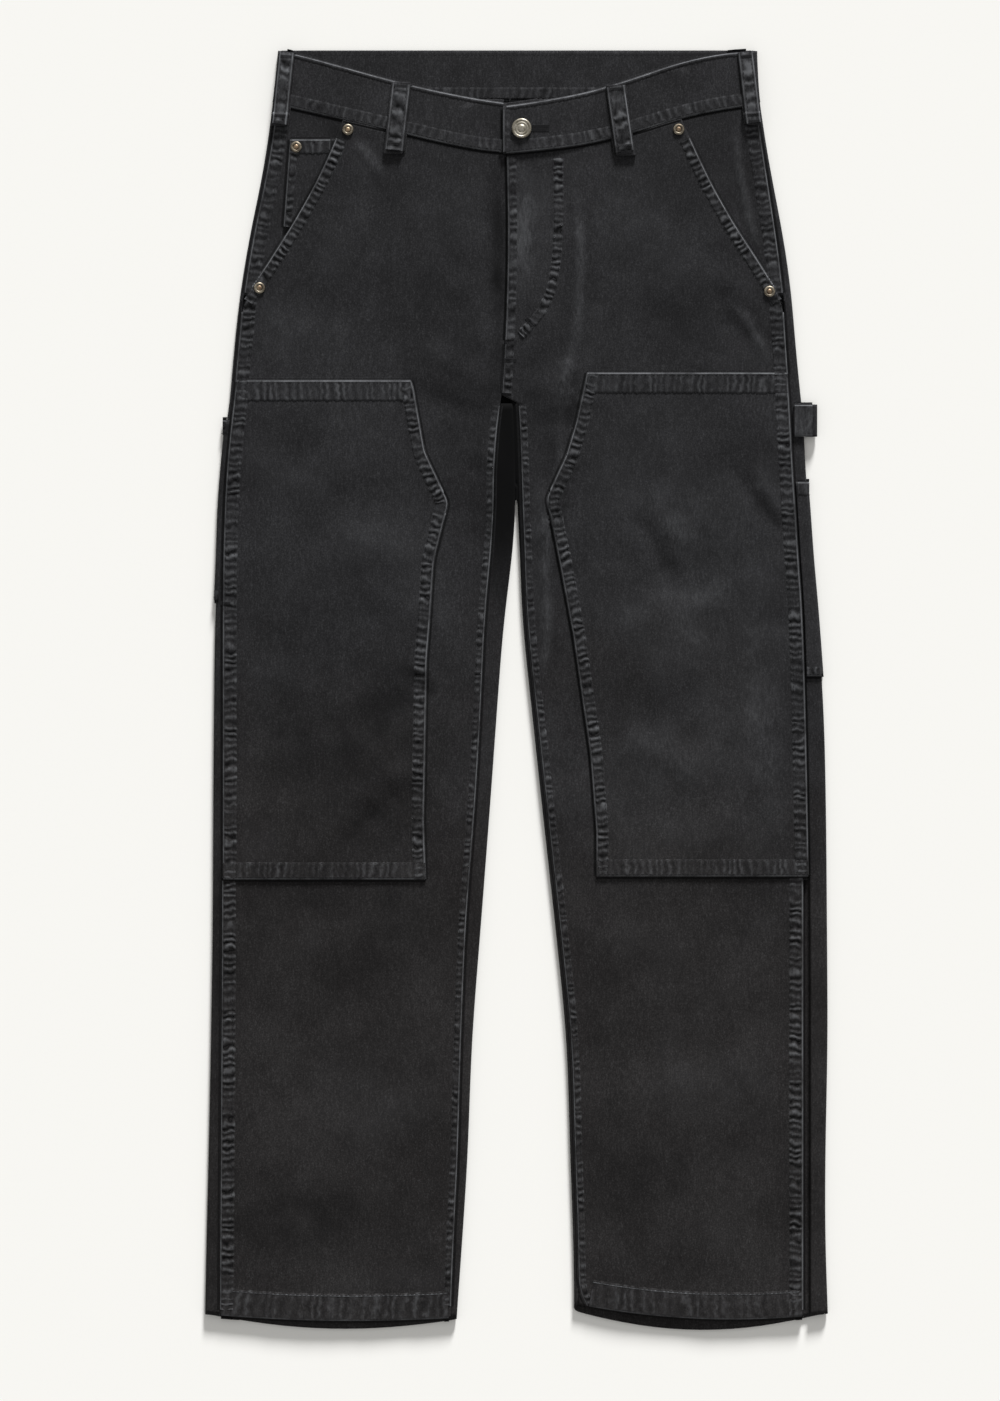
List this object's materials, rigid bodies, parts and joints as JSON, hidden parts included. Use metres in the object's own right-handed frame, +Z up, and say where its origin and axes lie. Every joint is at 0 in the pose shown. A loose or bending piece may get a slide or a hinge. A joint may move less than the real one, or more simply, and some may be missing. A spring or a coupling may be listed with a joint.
{
  "type": "carpenter pants",
  "caption": "Carpenter pants laid flat, front up: straight legs, pointed double-front knee patches, slanted pockets, hammer loop, tool pockets and button waistband.",
  "frame": {"origin": "bottom centre of the garment's box, on the surface that it lies on", "axes": "+Z up out of the garment's front, +Y towards the waist, +X towards the wearer's left leg"},
  "size_m": [0.5294, 1.088, 0.012],
  "materials": {
    "panel_cloth": "washed black cotton twill, matt, worn paler at seams and hems",
    "patch_cloth": "washed black cotton twill, matt, worn paler at its stitched edges",
    "band_cloth": "washed black cotton twill, doubled and topstitched, matt",
    "button_metal": "antiqued pale brass, satin",
    "rivet_metal": "antiqued nickel ring with a brass burr, satin"
  },
  "bodies": {
    "root": {"front_left": "panel_cloth", "front_right": "panel_cloth", "back_left": "panel_cloth", "back_right": "panel_cloth", "fly_shield": "panel_cloth", "pocket_facing_left": "panel_cloth", "pocket_facing_right": "panel_cloth", "coin_pocket": "patch_cloth", "knee_patch_left": "patch_cloth", "knee_patch_right": "patch_cloth", "tool_pocket_left": "patch_cloth", "tool_pocket_right": "patch_cloth", "waistband_front_left": "band_cloth", "waistband_front_right": "band_cloth", "waistband_back": "band_cloth", "belt_loop_front_left": "band_cloth", "belt_loop_front_right": "band_cloth", "belt_loop_side_left": "band_cloth", "belt_loop_side_right": "band_cloth", "hammer_loop": "band_cloth", "button": "button_metal", "rivet_1": "rivet_metal", "rivet_2": "rivet_metal", "rivet_3": "rivet_metal", "rivet_4": "rivet_metal", "rivet_5": "rivet_metal"}
  },
  "joints": []
}
